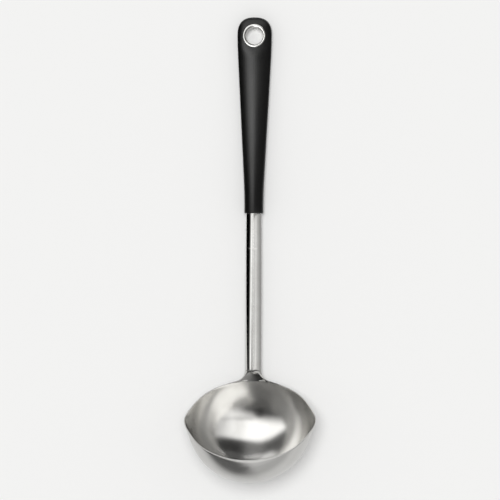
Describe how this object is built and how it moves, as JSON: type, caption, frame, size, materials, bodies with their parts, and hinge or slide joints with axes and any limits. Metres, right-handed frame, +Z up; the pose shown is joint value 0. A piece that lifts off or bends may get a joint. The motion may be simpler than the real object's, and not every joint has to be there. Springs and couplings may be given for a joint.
{
  "type": "ladle",
  "caption": "Soup ladle: round steel bowl with small pouring lips, flared neck, tubular stem and a tapered black grip with a steel hanging eyelet.",
  "frame": {"origin": "middle of the footprint of the bounding box, on the surface the ladle lies on", "axes": "+Y along the grip to the hanging end, +Z up, +X across; the bowl opens up and towards the grip"},
  "size_m": [0.0936, 0.3308, 0.0803],
  "materials": {
    "steel": "satin outside, polished neck and stem",
    "black_plastic": "satin, slightly grained",
    "eyelet_steel": "polished"
  },
  "bodies": {
    "root": {"ladle_body": "steel", "grip": "black_plastic", "eyelet": "eyelet_steel"}
  },
  "joints": []
}
